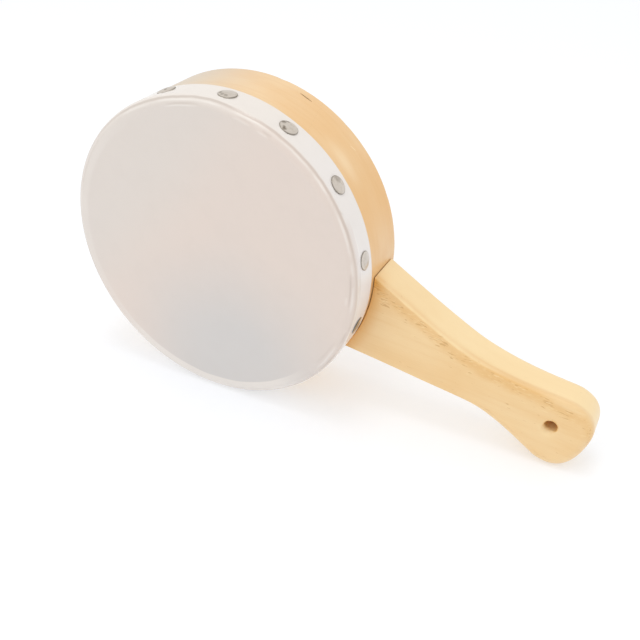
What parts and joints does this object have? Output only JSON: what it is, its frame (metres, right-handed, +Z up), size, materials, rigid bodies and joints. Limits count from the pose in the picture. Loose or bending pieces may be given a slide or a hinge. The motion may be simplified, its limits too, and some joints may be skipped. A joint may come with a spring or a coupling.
{
  "type": "hand drum with handle",
  "caption": "Small frame drum on a waisted wooden handle: one tacked translucent head, an open back and a hanging hole in the grip.",
  "frame": {"origin": "on the ground under the drum's axis, in the plane of the tack row, where the rim stands", "axes": "+Z up, +X from the drum towards the handle, -Y out of the head, so that the drum's axis lies along Y"},
  "size_m": [0.2583, 0.0468, 0.1512],
  "materials": {
    "shell_wood": "pale bent hardwood under a thin satin lacquer",
    "handle_wood": "pale straight-grained wood with small dark pores, satin lacquer",
    "head_film": "milky translucent film with a soft gloss",
    "tack_metal": "nickel plate, slightly dulled, darker at the rim"
  },
  "bodies": {
    "root": {"shell": "shell_wood", "drum_head": "head_film", "handle": "handle_wood", "tack_01": "tack_metal", "tack_02": "tack_metal", "tack_03": "tack_metal", "tack_04": "tack_metal", "tack_05": "tack_metal", "tack_06": "tack_metal", "tack_07": "tack_metal", "tack_08": "tack_metal", "tack_09": "tack_metal", "tack_10": "tack_metal", "tack_11": "tack_metal", "tack_12": "tack_metal", "tack_13": "tack_metal", "tack_14": "tack_metal"}
  },
  "joints": []
}
